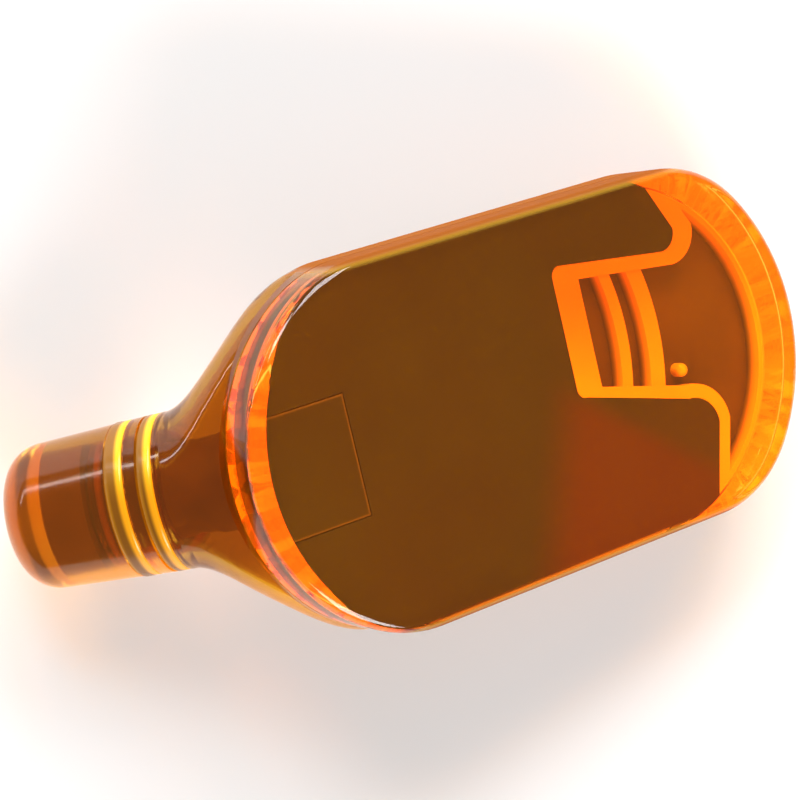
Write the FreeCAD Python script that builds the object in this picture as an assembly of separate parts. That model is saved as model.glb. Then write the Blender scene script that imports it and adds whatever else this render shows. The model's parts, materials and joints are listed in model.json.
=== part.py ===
"""Hand-sized darkroom safelight: a flat amber lamp head with a round battery neck.

The model is drawn in the head's own frame and then laid down as it rests on a bench.
Head frame, millimetres: X runs from the neck end to the far end, Y is across the head,
and Z is the window's outward normal, with Z = 0 on the window face.
At rest the neck's tip and the far end's lower edge touch the bench, and +Z is up.
"""
import FreeCAD, Part
import math
import os

V = FreeCAD.Vector

# ---- driving dimensions: the head ----
WIDTH = 72.0            # across the head
LENGTH = 133.0          # window's near edge to the far end
THICK = 20.5            # window face to flat back
LENS_H = 9.5            # height of the front lens
SEAL_T = 0.5            # lens gasket thickness
FACE_T = 3.0            # lens thickness over the window
SIDE_WALL = 1.6         # wall along the long sides
NEAR_WALL = 4.4         # clear wall at the neck end of the window
FAR_WALL = 8.6          # thick clear wall round the far end
BACK_WALL = 2.4         # wall of the flat back
NEAR_R = 37.0           # near end arc
NEAR_CORNER_R = 27.0
INNER_NEAR_R = 40.0     # near end arc of the inside, flatter than the outside
INNER_NEAR_CORNER_R = 24.0
FAR_R = 43.0            # far end arc
FAR_CORNER_R = 25.0
INNER_FAR_R = 36.0      # far end arc of the inside
INNER_FAR_CORNER_R = 17.0
LENS_EDGE_R = 2.4       # rounding of the window's edge
BACK_EDGE_R = 4.0       # rounding of the back's edge
INNER_EDGE_R = 2.5      # rounding inside it
GAP = 0.15              # assembly gap between fixed inner parts

# ---- driving dimensions: the neck ----
NECK_ANGLE = 43.0       # neck axis below the window plane
BEND_R = 27.0           # radius of the head-to-neck centre line
BEND_X = 25.47          # where the centre line starts to bend
NECK_R = 15.2           # outside radius of the neck
NECK_START = 8.2        # along the neck axis from the end of the bend
NECK_MOUTH = 10.6       # end of the neck's outside wall
SPIGOT_END = 24.0       # end of the stepped spigot inside the cap
SPIGOT_R = 11.6
RING_1 = (10.7, 13.7)   # bright bearing ring on the neck
RING_2 = (16.4, 20.2)   # bright ring on the cap
CAP_START = 13.9
CAP_END = 42.8
CAP_R0 = 15.1           # cap radius at its skirt
CAP_R1 = 14.1           # cap radius before the dome
TIP_EDGE_R = 7.0        # rounding of the cap's end
CAP_BORE_R = 12.1
O_RING_S = 22.2         # place of the sealing ring along the axis
CAP_CORE_END = 33.5     # end of the dark core inside the cap

# ---- driving dimensions: battery and contacts ----
CELL_R = 7.8            # CR2 cell
CELL_LEN = 27.0
CELL_START = 0.6
LINER_R = 9.4           # battery tube, outside
LINER_BORE_R = 8.05

# ---- driving dimensions: lamp parts ----
FILTER_T = 1.5
STEM_Y = 6.4            # middle of the lamp board and its lamps
STEM_TIP = (75.4, -3.6, 23.1)      # carrier's stem at its tip: x, lower y, upper y
STEM_ROOT = (103.0, -11.1, 19.6)   # and where it starts to flare
HEAD_LOW = (108.7, 0.28)           # where it widens into its head: x, backward lean
HEAD_HIGH = (107.2, 0.5)
HIGH_RIM_T = 4.8        # rim along the upper flare
FLARE_LOW = 6.5         # rounding of the flare on each side
FLARE_HIGH = 4.0
CARRIER_H = 4.6
RIM_T = 2.8
TIP_T = 6.0
WEB_T = 0.8
BARS = [(89.2, 2.6), (96.8, 3.6)]   # curved bars across the stem: place and width
BAR_BOW = 50.0          # radius of their middle line
PANEL = (3.0, 23.3, -11.2, 12.7)   # cover panel near the neck: x0, x1, y0, y1
PANEL_GAP = 0.2

# ---- driving dimensions: the four housing screws ----
BOSS_R = 4.4
BOSS_Y = WIDTH / 2 - SIDE_WALL - BOSS_R + 0.3     # the bosses grow out of the side walls
BOSS_TOP = -5.0         # top of the lens bosses, under the filter
SCREWS = [(x, y) for x in (33.0, 94.0) for y in (BOSS_Y, -BOSS_Y)]
SCREW_R = 1.25          # thread, outside
SCREW_CORE_R = 1.05     # the shank is drawn at its core size
SCREW_LEN = 11.8        # under the head
SCREW_HEAD_R = 2.45
SCREW_HEAD_H = 1.5
SCREW_SINK = 0.7        # head below the flat back
RECESS_R = 2.7
CROSS_W = 0.6           # cross recess in the head
CROSS_HALF = 1.6
CROSS_DEEP = 0.85

# ---- driving dimensions: lamp board ----
BOARD_Z = -11.4         # top of the lamp board
BOARD_T = 1.0
BOARD_X = (80.0, 118.5)
BOARD_HALF = 10.0
SPREADER_T = 1.55
BOARD_SCREW_X = 115.5
LED_X0 = 85.0
LED_PITCH = 7.5
LED_Y = 5.5
PILOT = (103.2, -5.1)   # place of the yellow indicator
PILOT_R = 1.4

# ---- driving dimensions: driver board ----
DRIVER_X = (34.0, 62.0)
DRIVER_HALF = 11.0
DRIVER_TOP = BOARD_Z - 2.4
PART_GAP = 0.02         # parts stand just clear of their board
LEAD_R = 0.6
LEAD_Y = 3.0

FLOOR_Z = -THICK + BACK_WALL
RIM_Z = -LENS_H - SEAL_T
MID_Z = (RIM_Z - THICK) / 2.0
NECK = math.radians(NECK_ANGLE)
SHAPES = {}


def tangent_corner(end_r, corner_r, half):
    """Distance from the end's apex to a corner circle's centre, measured along X."""
    return end_r - math.sqrt((end_r - corner_r) ** 2 - (half - corner_r) ** 2)


def arc(centre, radius, a0, a1):
    """Arc in the XY plane between two angles in degrees."""
    points = []
    for a in (a0, (a0 + a1) / 2.0, a1):
        t = math.radians(a)
        points.append(V(centre[0] + radius * math.cos(t), centre[1] + radius * math.sin(t), 0))
    return Part.Arc(points[0], points[1], points[2]).toShape()


def outline(side=0.0, near=0.0, far=0.0):
    """Closed outline of the head in the XY plane, moved in by the given amounts."""
    half = WIDTH / 2.0 - side
    near_r = NEAR_R - near
    far_r = FAR_R - far
    near_c = NEAR_CORNER_R - max(side, near)
    far_c = FAR_CORNER_R - max(side, far)
    if side >= SIDE_WALL:
        near_r = INNER_NEAR_R - (near - NEAR_WALL)
        far_r = INNER_FAR_R - (far - FAR_WALL)
        near_c = INNER_NEAR_CORNER_R - (side - SIDE_WALL)
        far_c = INNER_FAR_CORNER_R - (side - SIDE_WALL)
    nx = near + tangent_corner(near_r, near_c, half)
    fx = LENGTH - far - tangent_corner(far_r, far_c, half)
    y_near = half - near_c
    y_far = half - far_c
    near_mid = (near + near_r, 0.0)
    far_mid = (LENGTH - far - far_r, 0.0)
    a_near = math.degrees(math.atan2(y_near, nx - near_mid[0]))
    a_far = math.degrees(math.atan2(y_far, fx - far_mid[0]))
    edges = [
        arc((fx, -y_far), far_c, -90, -a_far),
        arc(far_mid, far_r, -a_far, a_far),
        arc((fx, y_far), far_c, a_far, 90),
        Part.makeLine(V(fx, half, 0), V(nx, half, 0)),
        arc((nx, y_near), near_c, 90, a_near),
        arc(near_mid, near_r, a_near, 360 - a_near),
        arc((nx, -y_near), near_c, 360 - a_near, 270),
        Part.makeLine(V(nx, -half, 0), V(fx, -half, 0)),
    ]
    return Part.Wire(Part.__sortEdges__(edges))


def prism(wire, z0, z1):
    """Solid between two heights with the given outline."""
    solid = Part.Face(wire).extrude(V(0, 0, z1 - z0))
    solid.translate(V(0, 0, z0))
    return solid


def box(x0, x1, y0, y1, z0, z1):
    return Part.makeBox(x1 - x0, y1 - y0, z1 - z0, V(x0, y0, z0))


def level_edges(solid, z):
    """Edges that lie wholly at one height."""
    found = []
    for edge in solid.Edges:
        b = edge.BoundBox
        if abs(b.ZMin - z) < 1e-4 and abs(b.ZMax - z) < 1e-4:
            found.append(edge)
    return found


def axis_dir():
    return V(-math.cos(NECK), 0, -math.sin(NECK))


def axis_point(s):
    """Point on the neck axis, s mm beyond the end of the bend."""
    end = V(BEND_X - BEND_R * math.sin(NECK), 0, MID_Z - BEND_R * (1 - math.cos(NECK)))
    return end + axis_dir() * s


def neck_cyl(radius, s0, s1):
    return Part.makeCylinder(radius, s1 - s0, axis_point(s0), axis_dir())


def neck_tube(outer, inner, s0, s1):
    return neck_cyl(outer, s0, s1).cut(neck_cyl(inner, s0 - 1, s1 + 1))


def to_neck(solid):
    """Move a solid drawn along +Z from the origin onto the neck axis."""
    turn = FreeCAD.Rotation(V(0, 0, 1), axis_dir())
    solid.Placement = FreeCAD.Placement(axis_point(0), turn).multiply(solid.Placement)
    return solid


# ---- the shoulder between head and neck ----
# s runs along the centre line, and is negative inside the bend and the head
SHOULDER_WIDE = (-26.0, 10.4)    # where the width changes
SHOULDER_DEEP = (-20.0, 10.0)    # where the depth changes
SHOULDER_EASE = 1.35             # how late the width falls away
SHOULDER_STEPS = 12
SHOULDER_WALL = 2.8


def smooth(t):
    t = min(1.0, max(0.0, t))
    return t * t * (3 - 2 * t)


def shoulder_size(s):
    """Half width and half height of the shoulder's section."""
    neck = NECK_R - 0.1
    w0, w1 = SHOULDER_WIDE
    t = max(0.0, (s - w0) / (w1 - w0)) ** SHOULDER_EASE
    half_w = WIDTH / 2 - 0.3 + (neck - WIDTH / 2 + 0.3) * smooth(t)
    d0, d1 = SHOULDER_DEEP
    low = (RIM_Z + THICK) / 2 - 0.05
    half_h = low + (neck - low) * smooth((s - d0) / (d1 - d0))
    return half_w, half_h


def centre_line(s):
    """Point and tilt in degrees of the head-to-neck centre line."""
    bend_len = BEND_R * NECK
    if s >= 0:
        return axis_point(s), NECK_ANGLE
    if s > -bend_len:
        t = (s + bend_len) / BEND_R
        return V(BEND_X - BEND_R * math.sin(t), 0, MID_Z - BEND_R * (1 - math.cos(t))), math.degrees(t)
    return V(BEND_X - bend_len - s, 0, MID_Z), 0.0


def section(s, half_w, half_h, inset):
    """Rounded section across the centre line; it ends nearly round at the neck."""
    a = half_w - inset
    b = half_h - inset
    r = b - 0.05
    point, tilt = centre_line(s)
    corners = [(1, 1, 0), (-1, 1, 90), (-1, -1, 180), (1, -1, 270)]
    edges = []
    last = None
    first = None
    for sx, sy, start in corners:
        c = (sx * (a - r), sy * (b - r))
        piece = arc(c, r, start, start + 90)
        p0 = V(c[0] + r * math.cos(math.radians(start)), c[1] + r * math.sin(math.radians(start)), 0)
        end = math.radians(start + 90)
        p1 = V(c[0] + r * math.cos(end), c[1] + r * math.sin(end), 0)
        if last is not None:
            edges.append(Part.makeLine(last, p0))
        else:
            first = p0
        edges.append(piece)
        last = p1
    edges.append(Part.makeLine(last, first))
    wire = Part.Wire(edges)
    # section drawn with x across the head and y along the section's height
    m = FreeCAD.Matrix()
    t = math.radians(tilt)
    m.A11, m.A12, m.A13 = 0.0, -math.sin(t), -math.cos(t)
    m.A21, m.A22, m.A23 = -1.0, 0.0, 0.0
    m.A31, m.A32, m.A33 = 0.0, math.cos(t), -math.sin(t)
    m.A14, m.A24, m.A34 = point.x, point.y, point.z
    wire.transformShape(m)
    return wire


def shoulder(inset):
    wires = []
    s0, s1 = SHOULDER_WIDE
    for i in range(SHOULDER_STEPS + 1):
        s = s0 + (s1 - s0) * i / SHOULDER_STEPS
        half_w, half_h = shoulder_size(s)
        wires.append(section(s, half_w, half_h, inset))
    return Part.makeLoft(wires, True, False)


# ---- outer shells ----
def front_lens():
    body = prism(outline(), -LENS_H, 0)
    body = body.makeFillet(LENS_EDGE_R, level_edges(body, 0))
    hollow = prism(outline(SIDE_WALL, NEAR_WALL, FAR_WALL), -LENS_H - 1, -FACE_T)
    body = body.cut(hollow)
    for x, y in SCREWS:
        boss = Part.makeCylinder(BOSS_R, LENS_H + BOSS_TOP, V(x, y, -LENS_H))
        pilot = Part.makeCylinder(SCREW_R - 0.15, LENS_H + BOSS_TOP - 0.7, V(x, y, -LENS_H - 0.3))
        body = body.fuse(boss).cut(pilot)
    return body.removeSplitter()


def lens_gasket():
    ring = prism(outline(0.25, 0.25, 0.25), RIM_Z, -LENS_H)
    ring = ring.cut(prism(outline(SIDE_WALL, NEAR_WALL, FAR_WALL), RIM_Z - 1, -LENS_H + 1))
    return clear_of_bosses(ring)


def rear_housing():
    tub = prism(outline(), -THICK, RIM_Z)
    tub = tub.makeFillet(BACK_EDGE_R, level_edges(tub, -THICK))
    outer = tub.fuse(shoulder(0.0)).fuse(neck_cyl(NECK_R, NECK_START, NECK_MOUTH))
    outer = outer.fuse(neck_cyl(SPIGOT_R + 1.6, NECK_MOUTH - 1, RING_1[1] + 0.1))
    outer = outer.fuse(neck_cyl(SPIGOT_R, NECK_MOUTH - 1, SPIGOT_END))
    above = prism(outline(-0.4, -0.4, -0.4), RIM_Z, 1)
    outer = outer.cut(above)
    hollow = prism(outline(SIDE_WALL, NEAR_WALL, FAR_WALL), FLOOR_Z, RIM_Z + 1)
    hollow = hollow.makeFillet(INNER_EDGE_R, level_edges(hollow, FLOOR_Z))
    inner = shoulder(SHOULDER_WALL).common(box(-60, 40, -40, 40, -80, RIM_Z - 2.0))
    bore = neck_cyl(LINER_R + GAP, CELL_START - 3.0, SPIGOT_END + 1)
    groove = neck_tube(SPIGOT_R + 1, SPIGOT_R - 1.35, O_RING_S - 0.85, O_RING_S + 0.85)
    outer = outer.cut(hollow).cut(inner).cut(bore).cut(groove)
    for x, y in SCREWS:
        boss = Part.makeCylinder(BOSS_R, RIM_Z - FLOOR_Z, V(x, y, FLOOR_Z))
        hole = Part.makeCylinder(SCREW_R + 0.25, THICK, V(x, y, -THICK - 1))
        head = Part.makeCylinder(RECESS_R, SCREW_SINK + SCREW_HEAD_H + 1.0, V(x, y, -THICK - 1.0))
        outer = outer.fuse(boss).cut(hole).cut(head)
    return outer.removeSplitter()


def housing_screws():
    screws = []
    for x, y in SCREWS:
        z0 = -THICK + SCREW_SINK
        a = CROSS_HALF
        b = CROSS_W / 2
        head = Part.makeCylinder(SCREW_HEAD_R, SCREW_HEAD_H, V(x, y, z0))
        slot = box(x - a, x + a, y - b, y + b, z0 - 1, z0 + CROSS_DEEP)
        cross = box(x - b, x + b, y - a, y + a, z0 - 1, z0 + CROSS_DEEP)
        shank = Part.makeCylinder(SCREW_CORE_R, SCREW_LEN, V(x, y, z0 + SCREW_HEAD_H))
        screws.append(head.cut(slot).cut(cross).fuse(shank).removeSplitter())
    return Part.makeCompound(screws)


def rear_tray():
    """Dark light-tight liner of the tub, open towards the window."""
    z0 = FLOOR_Z + GAP
    body = prism(outline(SIDE_WALL + GAP, NEAR_WALL + GAP, FAR_WALL + GAP), z0, -LENS_H - 0.2)
    body = body.makeFillet(INNER_EDGE_R, level_edges(body, z0))
    wall = 0.9
    body = body.cut(prism(outline(SIDE_WALL + GAP + wall, NEAR_WALL + GAP + wall, FAR_WALL + GAP + wall),
                          z0 + wall, 0))
    return clear_of_bosses(body.cut(neck_cyl(NECK_R - SHOULDER_WALL, CELL_START - 4.0, 30.0)))


def largest(shape):
    return max(shape.Solids, key=lambda s: s.Volume)


# ---- window stack ----
def stem_y(x, grow):
    """Lower and upper edge of the carrier's tapered stem."""
    t = (x - STEM_TIP[0]) / (STEM_ROOT[0] - STEM_TIP[0])
    low = STEM_TIP[1] + (STEM_ROOT[1] - STEM_TIP[1]) * t
    high = STEM_TIP[2] + (STEM_ROOT[2] - STEM_TIP[2]) * t
    return low - grow, high + grow


def carrier_wire(grow, high_extra=0.0):
    """T-shaped outline of the lamp carrier: a stem and a head along the far end."""
    x0 = STEM_TIP[0] - grow
    low_hx = HEAD_LOW[0] - grow
    high_hx = HEAD_HIGH[0] - grow + high_extra
    tip = 2.0 + grow
    low_r = FLARE_LOW - grow
    high_r = FLARE_HIGH - grow
    y0 = stem_y(x0, grow)
    low_x = low_hx - low_r
    high_x = high_hx - high_r
    low_y = stem_y(low_x, grow)[0]
    high_y = stem_y(high_x, grow)[1]
    corner = 1 - math.sqrt(0.5)
    top = WIDTH
    low_end = low_hx - HEAD_LOW[1] * (top + low_y - low_r)
    high_end = high_hx - HEAD_HIGH[1] * (top - high_y - high_r)
    edges = []

    def line(p, k):
        edges.append(Part.makeLine(V(p[0], p[1], 0), V(k[0], k[1], 0)))

    def bend(p, m, k):
        edges.append(Part.Arc(V(p[0], p[1], 0), V(m[0], m[1], 0), V(k[0], k[1], 0)).toShape())

    line((x0 + tip, y0[0]), (low_x, low_y))
    bend((low_x, low_y), (low_hx - low_r * corner, low_y - low_r * corner), (low_hx, low_y - low_r))
    line((low_hx, low_y - low_r), (low_end, -top))
    line((low_end, -top), (LENGTH + 5, -top))
    line((LENGTH + 5, -top), (LENGTH + 5, top))
    line((LENGTH + 5, top), (high_end, top))
    line((high_end, top), (high_hx, high_y + high_r))
    bend((high_hx, high_y + high_r), (high_hx - high_r * corner, high_y + high_r * corner), (high_x, high_y))
    line((high_x, high_y), (x0 + tip, y0[1]))
    bend((x0 + tip, y0[1]), (x0 + tip * corner, y0[1] - tip * corner), (x0, y0[1] - tip))
    line((x0, y0[1] - tip), (x0, y0[0] + tip))
    bend((x0, y0[0] + tip), (x0 + tip * corner, y0[0] + tip * corner), (x0 + tip, y0[0]))
    return Part.Wire(edges)


def inner_plan(z0, z1, extra=0.0):
    """Everything inside the lens walls between two heights."""
    inset = GAP + extra
    return prism(outline(SIDE_WALL + inset, NEAR_WALL + inset, FAR_WALL + inset), z0, z1)


def clear_of_bosses(sheet):
    for x, y in SCREWS:
        sheet = sheet.cut(Part.makeCylinder(BOSS_R + 0.3, THICK + 5, V(x, y, -THICK)))
    return largest(sheet)


def filter_sheet():
    z1 = -FACE_T - 0.1
    sheet = inner_plan(z1 - FILTER_T, z1)
    sheet = sheet.cut(prism(carrier_wire(GAP), z1 - 5, z1 + 1))
    x0, x1, y0, y1 = PANEL
    sheet = sheet.cut(box(x0, x1, y0, y1, z1 - 5, z1 + 1))
    return largest(sheet)


def cover_panel():
    z1 = -FACE_T - 0.1
    x0, x1, y0, y1 = PANEL
    g = PANEL_GAP
    panel = box(x0 + g, x1 - g, y0 + g, y1 - g, z1 - FILTER_T, z1)
    return panel.common(inner_plan(z1 - FILTER_T, z1, 0.1))


def diffuser_sheet():
    """Amber backing sheet that carries light from the lamp carrier to the window's edges."""
    z1 = -FACE_T - 0.1 - FILTER_T - 0.1
    sheet = inner_plan(z1 - 1.0, z1)
    sheet = sheet.cut(prism(carrier_wire(0.4), z1 - 5, z1 + 1))
    return clear_of_bosses(sheet)


def lamp_carrier():
    z1 = -FACE_T - 0.2
    z0 = z1 - CARRIER_H
    body = inner_plan(z0, z1, 0.1).common(prism(carrier_wire(0), z0, z1))
    core = inner_plan(z0 + WEB_T, z1 + 1, 0.1 + RIM_T * 0.4)
    pocket = prism(carrier_wire(-RIM_T, HIGH_RIM_T - RIM_T), z0 + WEB_T, z1 + 1)
    pocket = pocket.cut(box(STEM_TIP[0] - 5, STEM_TIP[0] + TIP_T, -WIDTH, WIDTH, z0, z1 + 2))
    body = body.cut(core.common(pocket))
    for x_mid, bar_w in BARS:
        body = body.fuse(cross_bar(x_mid, bar_w, z0, z1 - 0.3))
    return largest(body.removeSplitter())


def cross_bar(x_mid, bar_w, z0, z1):
    """Rib across the stem, bowed towards the far end."""
    middle = sum(stem_y(x_mid, 0)) / 2
    c = V(x_mid - BAR_BOW, middle, z0)
    ring = Part.makeCylinder(BAR_BOW + bar_w / 2, z1 - z0, c)
    ring = ring.cut(Part.makeCylinder(BAR_BOW - bar_w / 2, z1 - z0, c))
    stem = prism(carrier_wire(-0.5), z0, z1)
    return ring.common(stem).common(box(x_mid - 12, x_mid + 6, -WIDTH, WIDTH, z0, z1))


def carrier_mask():
    """Dark sheet under the lamp carrier that keeps white light off the bench."""
    z1 = -FACE_T - 0.2 - CARRIER_H - 0.15
    sheet = inner_plan(z1 - 0.6, z1, 0.3)
    sheet = sheet.cut(box(-10, STEM_TIP[0] - 4, -WIDTH, WIDTH, z1 - 3, z1 + 3))
    return clear_of_bosses(sheet)


# ---- electronics ----
def led_board():
    x0, x1 = BOARD_X
    board = box(x0, x1, STEM_Y - BOARD_HALF, STEM_Y + BOARD_HALF, BOARD_Z - BOARD_T, BOARD_Z)
    return board.cut(Part.makeCylinder(1.1, 5, V(BOARD_SCREW_X, STEM_Y, BOARD_Z - 3)))


def heat_spreader():
    z1 = BOARD_Z - BOARD_T - 0.05
    x0, x1 = BOARD_X
    half = BOARD_HALF - 0.5
    return box(x0 + 0.5, x1 - 0.5, STEM_Y - half, STEM_Y + half, z1 - SPREADER_T, z1)


def board_screw():
    x = BOARD_SCREW_X
    head = Part.makeCylinder(1.9, 1.1, V(x, STEM_Y, BOARD_Z + 0.05))
    slot = box(x - 1.5, x + 1.5, STEM_Y - 0.25, STEM_Y + 0.25, BOARD_Z + 0.7, BOARD_Z + 2)
    shank = Part.makeCylinder(0.9, 0.95, V(x, STEM_Y, BOARD_Z - 0.9))
    return head.cut(slot).fuse(shank)


def leds():
    """Two rows of four lamps, each a square package with a low dome."""
    chips = []
    for i in range(4):
        for y in (STEM_Y - LED_Y, STEM_Y + LED_Y):
            x = LED_X0 + LED_PITCH * i
            body = box(x - 1.75, x + 1.75, y - 1.4, y + 1.4, BOARD_Z + PART_GAP, BOARD_Z + 1.1)
            dome = Part.makeSphere(1.15, V(x, y, BOARD_Z + 1.0), V(0, 0, 1), 0, 90, 360)
            chips.append(body.fuse(dome).removeSplitter())
    return Part.makeCompound(chips)


def pilot_lamp():
    """Small yellow indicator that stands in the carrier's head."""
    x, y = PILOT
    z0 = -FACE_T - 0.2 - CARRIER_H + WEB_T + 0.05
    post = Part.makeCylinder(PILOT_R, 1.6, V(x, y, z0))
    dome = Part.makeSphere(PILOT_R, V(x, y, z0 + 1.6), V(0, 0, 1), 0, 90, 360)
    return post.fuse(dome).removeSplitter()


def driver_board():
    x0, x1 = DRIVER_X
    return box(x0, x1, -DRIVER_HALF, DRIVER_HALF, DRIVER_TOP - BOARD_T, DRIVER_TOP)


def driver_chip():
    x = DRIVER_X[0] + 12.5
    z = DRIVER_TOP + PART_GAP
    return box(x - 2.5, x + 2.5, -3, 3, z, z + 1.5)


def driver_inductor():
    """Wound core: a drum with a groove round its middle."""
    centre = V(DRIVER_X[1] - 6.5, 4.5, DRIVER_TOP + PART_GAP)
    core = Part.makeCylinder(3.6, 2.6, centre)
    return core.cut(Part.makeTorus(3.6, 0.7, centre + V(0, 0, 1.3)))


def driver_capacitors():
    x = DRIVER_X[0] + 4.5
    z = DRIVER_TOP + PART_GAP
    return Part.makeCompound([Part.makeCylinder(1.9, 2.8, V(x, y, z)) for y in (-5.5, 5.5)])


def driver_resistors():
    z = DRIVER_TOP + PART_GAP
    chips = []
    for i in range(4):
        x = DRIVER_X[1] - 10.0 + 2.2 * i
        chips.append(box(x, x + 1.2, -8.5, -6.3, z, z + 0.6))
    return Part.makeCompound(chips)


def lead(y):
    """Insulated lead from the driver board to the lamp board."""
    x0 = DRIVER_X[1] + 0.2
    run = BOARD_X[0] - 0.2 - x0
    return Part.makeCylinder(LEAD_R, run, V(x0, y, BOARD_Z - 1.6), V(1, 0, 0))


def battery_lead(y):
    """Insulated lead from the inner contact to the driver board."""
    run = 8.0
    return Part.makeCylinder(LEAD_R, run, V(DRIVER_X[0] - 0.1 - run, y, DRIVER_TOP - 0.5), V(1, 0, 0))


# ---- neck and battery ----
def neck_liner():
    """Dark battery tube, closed at its inner end."""
    s0 = CELL_START - 2.8
    body = neck_cyl(LINER_R, s0, SPIGOT_END - 0.3)
    return body.cut(neck_cyl(LINER_BORE_R, s0 + 0.9, SPIGOT_END + 1))


def battery_cell():
    can = neck_cyl(CELL_R, CELL_START, CELL_START + CELL_LEN - 1.0)
    can = can.makeFillet(0.8, [e for e in can.Edges if abs(e.Length - 2 * math.pi * CELL_R) < 0.1])
    nub = neck_cyl(3.0, CELL_START + CELL_LEN - 1.2, CELL_START + CELL_LEN)
    return can.fuse(nub).removeSplitter()


def inner_contact():
    return neck_cyl(7.4, CELL_START - 1.85, CELL_START - 1.4)


def contact_spring():
    """Conical contact spring behind the cell, drawn as its coils."""
    turns = [(4.9, -1.12), (4.3, -0.7), (3.7, -0.28)]
    rings = []
    for r, s in turns:
        rings.append(to_neck(Part.makeTorus(r, 0.26, V(0, 0, CELL_START + s), V(0, 0, 1))))
    return Part.makeCompound(rings)


def neck_o_ring():
    return to_neck(Part.makeTorus(SPIGOT_R - 0.55, 0.75, V(0, 0, O_RING_S), V(0, 0, 1)))


def bearing_ring(span, outer, inner):
    s0, s1 = span
    body = neck_tube(outer, inner, s0, s1)
    rims = [e for e in body.Edges if abs(e.Length - 2 * math.pi * outer) < 0.5 and len(e.Vertexes) == 1]
    return body.makeFillet(0.7, rims)


# ---- the screw cap ----
def cap_profile():
    """Outside of the cap as a revolved solid with a domed end."""
    p = Part.makeLine
    s_edge = CAP_END - TIP_EDGE_R
    r_c = CAP_R1 - TIP_EDGE_R
    mid = math.radians(48)
    on_arc = V(r_c + TIP_EDGE_R * math.sin(mid), 0, s_edge + TIP_EDGE_R * math.cos(mid))
    a = Part.Arc(V(CAP_R1, 0, s_edge), on_arc, V(r_c, 0, CAP_END)).toShape()
    edges = [p(V(0, 0, CAP_START), V(CAP_R0, 0, CAP_START)), p(V(CAP_R0, 0, CAP_START), V(CAP_R1, 0, s_edge)),
             a, p(V(r_c, 0, CAP_END), V(0, 0, CAP_END)), p(V(0, 0, CAP_END), V(0, 0, CAP_START))]
    return to_neck(Part.Face(Part.Wire(edges)).revolve(V(0, 0, 0), V(0, 0, 1), 360))


def end_cap():
    body = cap_profile()
    body = body.cut(neck_tube(20, CAP_BORE_R + 1.5, RING_2[0], RING_2[1]))
    body = body.cut(neck_cyl(CAP_BORE_R, CAP_START - 1, CAP_CORE_END + 0.2))
    return body.removeSplitter()


def cap_core():
    """Dark liner pressed into the cap; the plunger slides inside it."""
    body = neck_tube(CAP_BORE_R - 0.05, 9.2, SPIGOT_END + 1.4, CAP_CORE_END)
    return body.fuse(neck_cyl(CAP_BORE_R - 0.05, CAP_CORE_END - 1.2, CAP_CORE_END)).removeSplitter()


def plunger():
    end = CELL_START + CELL_LEN
    disc = neck_cyl(8.2, end + 1.5, end + 2.5)
    pin = neck_cyl(3.0, end + 0.1, end + 1.6)
    return disc.fuse(pin).removeSplitter()


def plunger_spring():
    """Compression spring between the plunger and the cap core, drawn as its coils."""
    s0 = CELL_START + CELL_LEN + 2.9
    rings = []
    for i in range(3):
        rings.append(to_neck(Part.makeTorus(5.0, 0.28, V(0, 0, s0 + 0.6 * i), V(0, 0, 1))))
    return Part.makeCompound(rings)


# ---- resting attitude ----
def rest_placement():
    """Turn about Y that puts the cap's rounded end and the far lower edge on the bench."""
    down = V(math.sin(NECK), 0, -math.cos(NECK))
    c1 = axis_point(CAP_END - TIP_EDGE_R) + down * (CAP_R1 - TIP_EDGE_R)
    c2 = V(LENGTH - BACK_EDGE_R, 0, -THICK + BACK_EDGE_R)
    run = math.hypot(c2.x - c1.x, c2.z - c1.z)
    slope = math.atan2(c2.z - c1.z, c2.x - c1.x)
    tilt = slope + math.asin((TIP_EDGE_R - BACK_EDGE_R) / run)
    turn = FreeCAD.Rotation(V(0, 1, 0), math.degrees(tilt))
    return FreeCAD.Placement(V(0, 0, 0), turn)


def add(name, shape):
    SHAPES[name] = shape


def build():
    add("front_lens", front_lens())
    add("lens_gasket", lens_gasket())
    add("rear_housing", rear_housing())
    add("housing_screws", housing_screws())
    add("rear_tray", rear_tray())
    add("filter_sheet", filter_sheet())
    add("cover_panel", cover_panel())
    add("diffuser_sheet", diffuser_sheet())
    add("lamp_carrier", lamp_carrier())
    add("carrier_mask", carrier_mask())
    add("led_board", led_board())
    add("heat_spreader", heat_spreader())
    add("board_screw", board_screw())
    add("leds", leds())
    add("pilot_lamp", pilot_lamp())
    add("driver_board", driver_board())
    add("driver_chip", driver_chip())
    add("driver_inductor", driver_inductor())
    add("driver_capacitors", driver_capacitors())
    add("driver_resistors", driver_resistors())
    add("lead_positive", lead(LEAD_Y))
    add("lead_negative", lead(-LEAD_Y))
    add("battery_lead_positive", battery_lead(LEAD_Y))
    add("battery_lead_negative", battery_lead(-LEAD_Y))
    add("neck_liner", neck_liner())
    add("battery_cell", battery_cell())
    add("inner_contact", inner_contact())
    add("contact_spring", contact_spring())
    add("neck_o_ring", neck_o_ring())
    add("neck_ring", bearing_ring(RING_1, NECK_R - 0.05, SPIGOT_R + 1.7))
    add("cap_ring", bearing_ring(RING_2, CAP_R0 - 0.1, CAP_BORE_R + 1.6))
    add("end_cap", end_cap())
    add("cap_core", cap_core())
    add("plunger", plunger())
    add("plunger_spring", plunger_spring())


def lay_down():
    """Rest the model on the bench, with the origin under the middle of its box."""
    rest = rest_placement()
    for name in SHAPES:
        SHAPES[name] = placed(SHAPES[name], rest)
    whole = Part.makeCompound(list(SHAPES.values()))
    b = whole.optimalBoundingBox(False, False)
    shift = FreeCAD.Placement(V(-(b.XMin + b.XMax) / 2, 0, -b.ZMin), FreeCAD.Rotation())
    for name in SHAPES:
        SHAPES[name] = placed(SHAPES[name], shift)
    return shift.multiply(rest)


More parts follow.
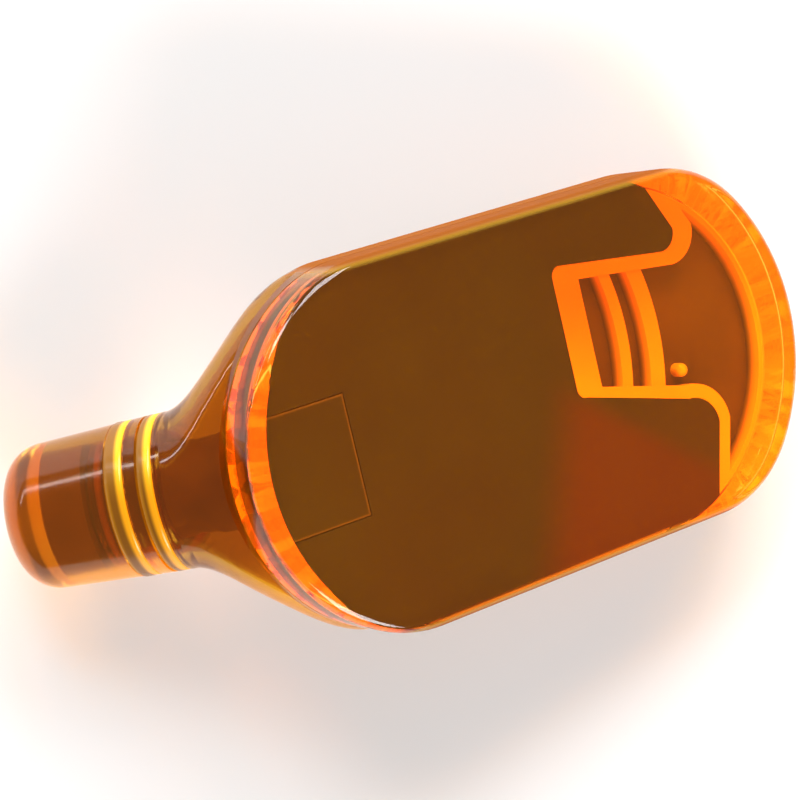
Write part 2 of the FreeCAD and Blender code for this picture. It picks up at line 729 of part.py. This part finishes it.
def placed(shape, placement):
    moved = shape.copy()
    moved.Placement = placement.multiply(moved.Placement)
    return moved


def main():
    build()
    frame = lay_down()
    os.makedirs("parts", exist_ok=True)
    for name, shape in SHAPES.items():
        print(name, "solids", len(shape.Solids), "valid", shape.isValid(), "mm3", round(shape.Volume, 1))
        shape.exportStep("parts/" + name + ".step")
    print("head frame origin", frame.Base, "tilt", frame.Rotation.Angle)
    print("neck axis point", frame.multVec(axis_point(0)), "direction", frame.Rotation.multVec(axis_dir()))


main()
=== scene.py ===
"""Darkroom safelight: looks, stage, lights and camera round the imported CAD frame."""
import bpy
import json
import math
from mathutils import Matrix, Vector


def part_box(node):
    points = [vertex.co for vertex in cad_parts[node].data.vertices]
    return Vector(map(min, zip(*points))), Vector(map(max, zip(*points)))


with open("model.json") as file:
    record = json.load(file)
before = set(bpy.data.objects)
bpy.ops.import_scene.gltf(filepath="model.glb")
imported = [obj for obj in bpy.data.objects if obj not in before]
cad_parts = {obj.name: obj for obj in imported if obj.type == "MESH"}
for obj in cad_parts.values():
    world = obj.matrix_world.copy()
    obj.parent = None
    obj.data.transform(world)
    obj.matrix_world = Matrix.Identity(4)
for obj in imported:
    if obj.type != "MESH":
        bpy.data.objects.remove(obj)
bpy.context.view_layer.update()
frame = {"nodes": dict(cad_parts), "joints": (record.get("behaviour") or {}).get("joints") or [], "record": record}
NODES = frame["nodes"]

# ---- the head's own axes, from the record ----
BACK_FACE = frame["record"]["mounts"][0]
WINDOW_UP = -Vector(BACK_FACE["axis"]).normalized()             # the window's outward normal
TILT = math.atan2(WINDOW_UP.x, WINDOW_UP.z)
ALONG = Vector((math.cos(TILT), 0.0, -math.sin(TILT)))          # neck end to far end
ACROSS = Vector((0.0, 1.0, 0.0))
NECK_AXIS = Vector(frame["joints"][0]["axis"])                  # out along the neck
HEAD_THICKNESS = 0.0205
BACK_MIDDLE = 0.075     # the back_face mount's place along the head
# near end of the window, on its face: every _AT and _FADE place below is measured from here
WINDOW_POINT = Vector(BACK_FACE["pos_m"]) + WINDOW_UP * HEAD_THICKNESS - ALONG * BACK_MIDDLE

# ---- camera, as an orbit about the middle of the object ----
CAMERA_AIM = (-0.0056, 0.0054, 0.0270)
CAMERA_DISTANCE = 0.4629
CAMERA_AZIMUTH = -118.65
CAMERA_ELEVATION = 71.57
CAMERA_ROLL = 104.13
CAMERA_LENS = 107.1
CAMERA_SENSOR = 36.0
CAMERA_CLIP = 0.01

# ---- lights: name, place, size, power; all of them aim at the origin ----
LIGHTS = (
    ("key", (-0.25, 0.90, 0.75), (0.35, 0.35), 6.0),
    ("end", (-0.58, 0.82, 0.24), (1.0, 0.05), 1.6),
    ("top", (0.30, 0.95, 0.60), (0.6, 0.5), 11.5),
    ("low", (0.05, -0.95, 0.60), (0.6, 0.5), 11.5),
)
WORLD_WHITE = (1.0, 1.0, 1.0, 1.0)
WORLD_STRENGTH = 0.14

# ---- floor ----
FLOOR_HALF = 3.0
FLOOR_DROP = 0.0002     # just under the object, so that the two never share a plane
FLOOR_PALE = ((0.93, 0.93, 0.93), (0.96, 0.96, 0.96))
FLOOR_ROUGHNESS = 0.7
FLOOR_GRAIN = 8.0

# ---- clear amber mouldings ----
AMBER_IOR = 1.49
AMBER_SPECULAR = 0.3
SHADOW_AMBER = (1.0, 0.62, 0.12)    # colour of the light that a clear moulding lets through
LENS_TINT = ((1.0, 0.60, 0.05), (1.0, 0.66, 0.07))
LENS_GLOSS = (0.02, 0.05)
HOUSING_TINT = ((0.48, 0.23, 0.010), (0.56, 0.27, 0.014))
HOUSING_GLOSS = (0.05, 0.10)
# painted glow in the housing's emission, golden and lighter on its upper side and brightest along its lower edge
HOUSING_PAINTED_GLOW = (0.030, 0.010, 0.0002)
HOUSING_UPPER_PAINTED_GLOW = (0.060, 0.024, 0.0004)
HOUSING_UPPER_AT = (0.010, 0.026)
HOUSING_LOWER_PAINTED_GLOW = (0.16, 0.062, 0.001)
HOUSING_LOWER_AT = (-0.012, -0.024)
CAP_TINT = ((0.40, 0.18, 0.006), (0.46, 0.21, 0.01))
CAP_GLOSS = (0.08, 0.15)
# painted glow in the cap's emission, brightest along its lower side
CAP_PAINTED_GLOW = (0.060, 0.019, 0.0002)
CAP_LOWER_PAINTED_GLOW = (0.34, 0.12, 0.002)
CAP_LOWER_AT = (-0.008, -0.0135)
EDGE_AMBER = (0.34, 0.095, 0.012)
EDGE_AT = (0.0341, 0.0357)          # from here out to the long side walls a moulding turns opaque
EDGE_TRANSMISSION = 0.08

# ---- gasket and lamp carrier, with a painted glow that stands in for the lamps' light ----
LAMP_ORANGE = (1.0, 0.35, 0.01)
GASKET_PAINTED_GLOW_STRENGTH = 0.74
GASKET_GRAIN = 12.0
# painted glow round the gasket: brightest round the far end, calmer along the sides, with its own colour at the
# near end
GASKET_FAR_PAINTED_GLOW = ((1.0, 0.30, 0.003), (1.0, 0.225, 0.003))
GASKET_FAR_AT = (0.088, 0.104)
GASKET_FAR_FADE = (-0.03, 0.02)
GASKET_SIDES = ((0.55, 0.20, 0.01), (0.46, 0.14, 0.02))
GASKET_SIDES_FADE = (-0.02, 0.02)
GASKET_NEAR = (0.98, 0.20, 0.006)
GASKET_NEAR_AT = (0.034, 0.016)
CARRIER_PAINTED_GLOW_STRENGTH = 0.55
# painted glow of the lamp carrier: bright rims over a dim floor
CARRIER_FLOOR = (0.13, 0.062, 0.006)
CARRIER_RIM_PAINTED_LIGHT = ((1.0, 0.40, 0.003), (0.82, 0.21, 0.003))
CARRIER_RIM_AT = (-0.0070, -0.0036)
CARRIER_RIM_FADE = (-0.006, 0.018)

# ---- rings round the neck, with a painted glow; the painted highlight bands are measured in from a ring's two edges ----
RING_PAINTED_GLOW_STRENGTH = 0.45
RING_GLOSS = 0.25
RING_DEEP = (0.17, 0.058, 0.002)
RING_NEAR_PAINTED_HIGHLIGHT = (0.74, 0.29, 0.004)
RING_NEAR_BAND = (0.0019, 0.0009)
RING_FAR_PAINTED_HIGHLIGHT = (0.34, 0.13, 0.003)
RING_FAR_BAND = (0.0011, 0.0004)
# painted light: the rings' upper side is yellower and brighter
RING_UPPER_PAINTED_LIGHT = (0.26, 0.10, 0.003)
RING_UPPER_PAINTED_HIGHLIGHT = (0.95, 0.50, 0.008)
RING_UPPER_AT = (0.002, 0.010)

# ---- filter and its cover panel ----
FILTER_BROWN = ((0.062, 0.055, 0.004), (0.069, 0.061, 0.005))
FILTER_GRAIN = 60.0
FILTER_ROUGHNESS = 0.45
FILTER_WARM = (0.118, 0.064, 0.004)
FILTER_WARM_AT = (0.060, 0.115)
FILTER_WARM_SIDE = (0.004, -0.016, 0.0, 0.5)    # place and amount, across the head
# painted glow of the lamps in a soft reddish fan on the filter beside the lamp carrier
FAN_PAINTED_GLOW = (0.122, 0.050, 0.003)
FAN_TIP = (0.0748, -0.0028)                     # along and across, by the lamp carrier's corner
FAN_UPPER_LINE = (142.0, -0.003, 0.003)         # angle of a side of the fan, and where it fades
FAN_NEAR_LINE = (-112.0, -0.009, 0.005)
PANEL_DEPTH = 0.0031
PANEL_PAINTED_HIGHLIGHT = (0.17, 0.12, 0.015)
PANEL_LINE_IN = 0.0005                          # the painted highlight line starts this far in from the panel's edge
PANEL_LINE_FULL = 0.0002                        # and is at its brightest from here out

# ---- gloss range and grain of the solid pieces ----
SATIN = {"rough": (0.4, 0.5), "scale": 120.0}
METAL = {"rough": (0.25, 0.4), "scale": 400.0, "Metallic": 1.0}
CAST_METAL = {"rough": (0.3, 0.45), "scale": 500.0, "Metallic": 1.0}


# ---- node helpers ----
def new_material(name):
    mat = bpy.data.materials.new(name)
    mat.use_nodes = True
    tree = mat.node_tree
    tree.nodes.clear()
    out = tree.nodes.new("ShaderNodeOutputMaterial")
    return mat, tree, out


def add(tree, kind, **values):
    node = tree.nodes.new(kind)
    for key, value in values.items():
        setattr(node, key, value)
    return node


def principled(tree, color, roughness, **sockets):
    node = tree.nodes.new("ShaderNodeBsdfPrincipled")
    node.inputs["Base Color"].default_value = (*color, 1.0)
    node.inputs["Roughness"].default_value = roughness
    for key, value in sockets.items():
        node.inputs[key.replace("_", " ")].default_value = value
    return node


def noise(tree, scale, detail=3.0):
    coord = add(tree, "ShaderNodeTexCoord")
    tex = add(tree, "ShaderNodeTexNoise")
    tex.inputs["Scale"].default_value = scale
    tex.inputs["Detail"].default_value = detail
    tree.links.new(coord.outputs["Object"], tex.inputs["Vector"])
    return tex.outputs["Fac"]


def map_range(tree, source, start, end, low, high, **values):
    """Value that runs from low to high while the source runs from start to end."""
    node = add(tree, "ShaderNodeMapRange", **values)
    node.inputs["From Min"].default_value = start
    node.inputs["From Max"].default_value = end
    node.inputs["To Min"].default_value = low
    node.inputs["To Max"].default_value = high
    tree.links.new(source, node.inputs["Value"])
    return node.outputs["Result"]


def spread(tree, source, low=0.0, high=1.0):
    """A noise value, which keeps near its middle, stretched to run from low to high."""
    return map_range(tree, source, 0.3, 0.7, low, high)


def blend(tree, factor, a, b):
    """Mix of two colours, either of which may be a fixed colour or a socket."""
    node = add(tree, "ShaderNodeMix", data_type="RGBA")
    for key, value in (("A", a), ("B", b)):
        if isinstance(value, tuple):
            node.inputs[key].default_value = (*value, 1.0)
        else:
            tree.links.new(value, node.inputs[key])
    tree.links.new(factor, node.inputs["Factor"])
    return node.outputs["Result"]


def math_node(tree, operation, a, b):
    node = add(tree, "ShaderNodeMath", operation=operation, use_clamp=True)
    tree.links.new(a, node.inputs[0])
    tree.links.new(b, node.inputs[1])
    return node.outputs["Value"]


def bump(tree, shader, source, strength, distance=0.0002):
    node = add(tree, "ShaderNodeBump")
    node.inputs["Strength"].default_value = strength
    node.inputs["Distance"].default_value = distance
    tree.links.new(source, node.inputs["Height"])
    tree.links.new(node.outputs["Normal"], shader.inputs["Normal"])


def head_axis(tree, axis, start, end, low=0.0, high=1.0):
    """Value that runs smoothly from low to high between two places along an axis."""
    coord = add(tree, "ShaderNodeTexCoord")
    shift = add(tree, "ShaderNodeVectorMath", operation="SUBTRACT")
    shift.inputs[1].default_value = WINDOW_POINT
    tree.links.new(coord.outputs["Object"], shift.inputs[0])
    along = add(tree, "ShaderNodeVectorMath", operation="DOT_PRODUCT")
    along.inputs[1].default_value = axis
    tree.links.new(shift.outputs["Vector"], along.inputs[0])
    return map_range(tree, along.outputs["Value"], start, end, low, high, interpolation_type="SMOOTHSTEP")


def side_mask(tree, point, angle, start, end):
    """Soft half plane of the window, on the left of a line through a point of the head."""
    turn = math.radians(angle)
    axis = ALONG * -math.sin(turn) + ACROSS * math.cos(turn)
    offset = point[0] * -math.sin(turn) + point[1] * math.cos(turn)
    return head_axis(tree, axis, offset + start, offset + end)


# ---- kinds of material ----
def plain(name, low, high, rough=(0.35, 0.5), scale=300.0, **sockets):
    """Solid moulded or metal surface with slight colour, gloss and height variation."""
    mat, tree, out = new_material(name)
    shader = principled(tree, high, rough[0], **sockets)
    grain = noise(tree, scale)
    tree.links.new(blend(tree, spread(tree, grain), low, high), shader.inputs["Base Color"])
    tree.links.new(spread(tree, grain, *rough), shader.inputs["Roughness"])
    bump(tree, shader, noise(tree, scale * 3), 0.15)
    tree.links.new(shader.outputs[0], out.inputs["Surface"])
    return mat


def opaque_edge(tree, glass, body):
    """Turns a clear moulding opaque towards its long side walls, and returns its new colour."""
    start, end = EDGE_AT
    rim = math_node(tree, "MAXIMUM", head_axis(tree, ACROSS, start, end),
                    head_axis(tree, ACROSS, -start, -end))
    for socket, clear, opaque in (("Transmission Weight", 1.0, EDGE_TRANSMISSION),
                                  ("Specular IOR Level", AMBER_SPECULAR, 0.0)):
        tree.links.new(map_range(tree, rim, 0.0, 1.0, clear, opaque), glass.inputs[socket])
    return blend(tree, rim, body, EDGE_AMBER)


def clear_amber(name, tint, gloss, glow=None, edged=False):
    """Polished amber acrylic: tinted glass that lets light through in its own colour; glow, where given, adds a
    painted glow in its emission.
    """
    mat, tree, out = new_material(name)
    glass = principled(tree, tint[1], gloss[0], Transmission_Weight=1.0, IOR=AMBER_IOR,
                       Specular_IOR_Level=AMBER_SPECULAR)
    body = blend(tree, spread(tree, noise(tree, 26.0, 2.0)), *tint)
    if edged:
        body = opaque_edge(tree, glass, body)
    tree.links.new(body, glass.inputs["Base Color"])
    tree.links.new(spread(tree, noise(tree, 90.0), *gloss), glass.inputs["Roughness"])
    bump(tree, glass, noise(tree, 45.0, 1.0), 0.015, 0.0004)
    # painted glow: emission that stands in for lamp light
    if glow:
        tree.links.new(glow(tree), glass.inputs["Emission Color"])
        glass.inputs["Emission Strength"].default_value = 1.0
    through = add(tree, "ShaderNodeBsdfTransparent")
    through.inputs["Color"].default_value = (*SHADOW_AMBER, 1.0)
    path = add(tree, "ShaderNodeLightPath")
    mix = add(tree, "ShaderNodeMixShader")
    tree.links.new(path.outputs["Is Shadow Ray"], mix.inputs["Fac"])
    tree.links.new(glass.outputs[0], mix.inputs[1])
    tree.links.new(through.outputs[0], mix.inputs[2])
    tree.links.new(mix.outputs[0], out.inputs["Surface"])
    return mat


def painted_glow_amber(name, color, strength, gloss=0.4, scale=40.0):
    """Amber moulding with a painted glow that stands in for lamp light; color(tree) makes the socket of its
    colour.
    """
    mat, tree, out = new_material(name)
    shader = principled(tree, LAMP_ORANGE, gloss)
    # painted glow: the same colour goes to the base colour and to the emission
    lit = add(tree, "ShaderNodeVectorMath", operation="SCALE")
    tree.links.new(color(tree), lit.inputs[0])
    tree.links.new(spread(tree, noise(tree, scale, 2.0), 0.86, 1.08), lit.inputs["Scale"])
    tree.links.new(lit.outputs["Vector"], shader.inputs["Base Color"])
    tree.links.new(lit.outputs["Vector"], shader.inputs["Emission Color"])
    shader.inputs["Emission Strength"].default_value = strength
    bump(tree, shader, noise(tree, 300.0), 0.1)
    tree.links.new(shader.outputs[0], out.inputs["Surface"])
    return mat


def dyed_sheet_with_painted_light(name, color):
    """Dyed sheet whose colour also carries painted light; color(tree) makes the socket of its colour."""
    mat, tree, out = new_material(name)
    shader = principled(tree, FILTER_WARM, FILTER_ROUGHNESS)
    tree.links.new(color(tree), shader.inputs["Base Color"])
    bump(tree, shader, noise(tree, 900.0), 0.1)
    tree.links.new(shader.outputs[0], out.inputs["Surface"])
    return mat


# ---- colours that change from place to place, most of them painted glow, light and highlights ----
def painted_gasket_glow(tree):
    """Painted glow, brightest round the far end, calmer along the sides."""
    far = head_axis(tree, ALONG, *GASKET_FAR_AT)
    far_color = blend(tree, head_axis(tree, ACROSS, *GASKET_FAR_FADE), *GASKET_FAR_PAINTED_GLOW)
    sides = blend(tree, head_axis(tree, ACROSS, *GASKET_SIDES_FADE), *GASKET_SIDES)
    near = head_axis(tree, ALONG, *GASKET_NEAR_AT)
    return blend(tree, far, blend(tree, near, sides, GASKET_NEAR), far_color)


def painted_carrier_glow(tree):
    """Painted glow: bright rims and bars over a dim floor."""
    top = head_axis(tree, WINDOW_UP, *CARRIER_RIM_AT)
    rim = blend(tree, head_axis(tree, ACROSS, *CARRIER_RIM_FADE), *CARRIER_RIM_PAINTED_LIGHT)
    return blend(tree, top, CARRIER_FLOOR, rim)


def ring_painted_glow(name):
    """Painted glow, with a painted highlight band at the edge towards the head, deep in the middle, and painted
    yellow light on its upper side.
    """
    ring = NODES[name]
    places = [(ring.matrix_world @ v.co - WINDOW_POINT).dot(NECK_AXIS) for v in ring.data.vertices]
    near_band = [min(places) + inward for inward in RING_NEAR_BAND]
    far_band = [max(places) - inward for inward in RING_FAR_BAND]

    def color(tree):
        near_edge = head_axis(tree, NECK_AXIS, *near_band)
        deep = blend(tree, head_axis(tree, NECK_AXIS, *far_band), RING_DEEP, RING_FAR_PAINTED_HIGHLIGHT)
        main = blend(tree, near_edge, deep, RING_NEAR_PAINTED_HIGHLIGHT)
        upper = blend(tree, near_edge, RING_UPPER_PAINTED_LIGHT, RING_UPPER_PAINTED_HIGHLIGHT)
        return blend(tree, head_axis(tree, ACROSS, *RING_UPPER_AT), main, upper)
    return color


def filter_color(tree):
    """Brown dye; the colour runs warmer towards the far end, and a painted reddish glow lies in a soft fan beside
    the lamp carrier.
    """
    base = blend(tree, spread(tree, noise(tree, FILTER_GRAIN)), *FILTER_BROWN)
    warm = math_node(tree, "MULTIPLY", head_axis(tree, ALONG, *FILTER_WARM_AT),
                     head_axis(tree, ACROSS, *FILTER_WARM_SIDE))
    fan = math_node(tree, "MULTIPLY", side_mask(tree, FAN_TIP, *FAN_UPPER_LINE),
                    side_mask(tree, FAN_TIP, *FAN_NEAR_LINE))
    return blend(tree, fan, blend(tree, warm, base, FILTER_WARM), FAN_PAINTED_GLOW)


def panel_color(tree):
    """The filter's own brown, with a painted highlight line along its cut edges."""
    low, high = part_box("cover_panel")
    far = (high[0] - WINDOW_POINT.x + WINDOW_UP.x * PANEL_DEPTH) / ALONG.x
    # painted highlight along the panel's far edge and both side edges
    edge = head_axis(tree, ALONG, far - PANEL_LINE_IN, far - PANEL_LINE_FULL)
    for y, inward in ((low[1], 1), (high[1], -1)):
        line = head_axis(tree, ACROSS, y + PANEL_LINE_IN * inward, y + PANEL_LINE_FULL * inward)
        edge = math_node(tree, "MAXIMUM", edge, line)
    return blend(tree, edge, filter_color(tree), PANEL_PAINTED_HIGHLIGHT)


def painted_housing_glow(tree):
    """Painted warm glow in the shoulder's emission, with painted golden light on its upper side and along its
    lower edge.
    """
    upper = blend(tree, head_axis(tree, ACROSS, *HOUSING_UPPER_AT), HOUSING_PAINTED_GLOW, HOUSING_UPPER_PAINTED_GLOW)
    return blend(tree, head_axis(tree, ACROSS, *HOUSING_LOWER_AT), upper, HOUSING_LOWER_PAINTED_GLOW)


def painted_cap_glow(tree):
    """Painted warm glow in the cap's emission, brightest along its lower side."""
    return blend(tree, head_axis(tree, ACROSS, *CAP_LOWER_AT), CAP_PAINTED_GLOW, CAP_LOWER_PAINTED_GLOW)


# ---- materials on the CAD nodes ----
def dress(material, *names):
    for name in names:
        node = NODES[name]
        if not node.material_slots:
            node.data.materials.append(material)
        for slot in node.material_slots:
            slot.link = "OBJECT"
            slot.material = material


def dress_all():
    dress(clear_amber("amber_lens", LENS_TINT, LENS_GLOSS, edged=True), "front_lens")
    dress(clear_amber("amber_housing", HOUSING_TINT, HOUSING_GLOSS, painted_housing_glow, True), "rear_housing")
    dress(clear_amber("amber_cap", CAP_TINT, CAP_GLOSS, painted_cap_glow), "end_cap")
    dress(dyed_sheet_with_painted_light("filter_brown", filter_color), "filter_sheet")
    dress(dyed_sheet_with_painted_light("panel_brown", panel_color), "cover_panel")
    dress(plain("tray_brown", (0.20, 0.09, 0.012), (0.25, 0.11, 0.015), **SATIN), "rear_tray")
    dress(plain("core_brown", (0.13, 0.080, 0.008), (0.17, 0.105, 0.012), **SATIN),
          "neck_liner", "cap_core", "carrier_mask")
    dress(painted_glow_amber("carrier_orange", painted_carrier_glow, CARRIER_PAINTED_GLOW_STRENGTH), "lamp_carrier", "diffuser_sheet")
    dress(painted_glow_amber("gasket_orange", painted_gasket_glow, GASKET_PAINTED_GLOW_STRENGTH, scale=GASKET_GRAIN), "lens_gasket")
    for name in ("neck_ring", "cap_ring"):
        dress(painted_glow_amber(name + "_amber", ring_painted_glow(name), RING_PAINTED_GLOW_STRENGTH, RING_GLOSS), name)
    dress(plain("seal_orange", (0.30, 0.10, 0.006), (0.40, 0.14, 0.01), (0.4, 0.6)), "neck_o_ring")
    dress(plain("nylon_amber", (0.55, 0.20, 0.02), (0.65, 0.26, 0.03), (0.3, 0.45)), "housing_screws")
    dress(plain("steel", (0.45, 0.45, 0.45), (0.6, 0.6, 0.6), **METAL),
          "board_screw", "contact_spring", "plunger_spring")
    dress(plain("board_green", (0.01, 0.09, 0.03), (0.02, 0.13, 0.04)), "led_board", "driver_board")
    dress(plain("aluminium", (0.65, 0.65, 0.66), (0.8, 0.8, 0.8), **CAST_METAL),
          "heat_spreader", "driver_capacitors")
    dress(plain("lamp_amber", (0.9, 0.3, 0.03), (1.0, 0.45, 0.05)), "leds")
    dress(plain("pilot_yellow", (1.0, 0.6, 0.04), (1.0, 0.7, 0.08)), "pilot_lamp")
    dress(plain("package_black", (0.02, 0.02, 0.02), (0.04, 0.04, 0.04)),
          "driver_chip", "driver_inductor", "driver_resistors")
    dress(plain("lead_red", (0.4, 0.02, 0.01), (0.5, 0.03, 0.02)),
          "lead_positive", "battery_lead_positive")
    dress(plain("lead_black", (0.02, 0.02, 0.02), (0.04, 0.04, 0.04)),
          "lead_negative", "battery_lead_negative")
    dress(plain("cell_wrap", (0.08, 0.08, 0.09), (0.12, 0.12, 0.13), (0.2, 0.3)), "battery_cell")
    dress(plain("brass", (0.7, 0.5, 0.18), (0.8, 0.6, 0.25), **METAL), "inner_contact", "plunger")


# ---- stage ----
def link_new(name, data):
    obj = bpy.data.objects.new(name, data)
    bpy.context.scene.collection.objects.link(obj)
    return obj


def floor():
    mesh = bpy.data.meshes.new("floor")
    signs = ((-1, -1), (1, -1), (1, 1), (-1, 1))
    corners = [(x * FLOOR_HALF, y * FLOOR_HALF, -FLOOR_DROP) for x, y in signs]
    mesh.from_pydata(corners, [], [(0, 1, 2, 3)])
    obj = link_new("floor", mesh)
    mat, tree, out = new_material("floor_pale")
    shader = principled(tree, FLOOR_PALE[0], FLOOR_ROUGHNESS)
    tree.links.new(blend(tree, noise(tree, FLOOR_GRAIN), *FLOOR_PALE), shader.inputs["Base Color"])
    tree.links.new(shader.outputs[0], out.inputs["Surface"])
    mesh.materials.append(mat)


def lights():
    world = bpy.data.worlds.new("studio")
    world.use_nodes = True
    background = world.node_tree.nodes["Background"]
    background.inputs["Color"].default_value = WORLD_WHITE
    background.inputs["Strength"].default_value = WORLD_STRENGTH
    bpy.context.scene.world = world
    for name, place, size, power in LIGHTS:
        data = bpy.data.lights.new(name, "AREA")
        data.shape = "RECTANGLE"
        data.size, data.size_y = size
        data.energy = power
        obj = link_new(name, data)
        obj.location = place
        obj.rotation_euler = (-Vector(place)).to_track_quat("-Z", "Y").to_euler()


def camera():
    a = math.radians(CAMERA_AZIMUTH)
    e = math.radians(CAMERA_ELEVATION)
    away = Vector((math.sin(a) * math.cos(e), -math.cos(a) * math.cos(e), math.sin(e)))
    level = Vector((math.cos(a), math.sin(a), 0.0))
    roll = math.radians(CAMERA_ROLL)
    right = level * math.cos(roll) + away.cross(level) * math.sin(roll)
    data = bpy.data.cameras.new("camera")
    data.lens = CAMERA_LENS
    data.sensor_width = CAMERA_SENSOR
    data.clip_start = CAMERA_CLIP
    obj = link_new("camera", data)
    turn = Matrix((right, away.cross(right), away)).transposed().to_4x4()
    obj.matrix_world = Matrix.Translation(Vector(CAMERA_AIM) + away * CAMERA_DISTANCE) @ turn
    bpy.context.scene.camera = obj


bpy.context.scene.view_settings.view_transform = "Standard"
dress_all()
floor()
lights()
camera()
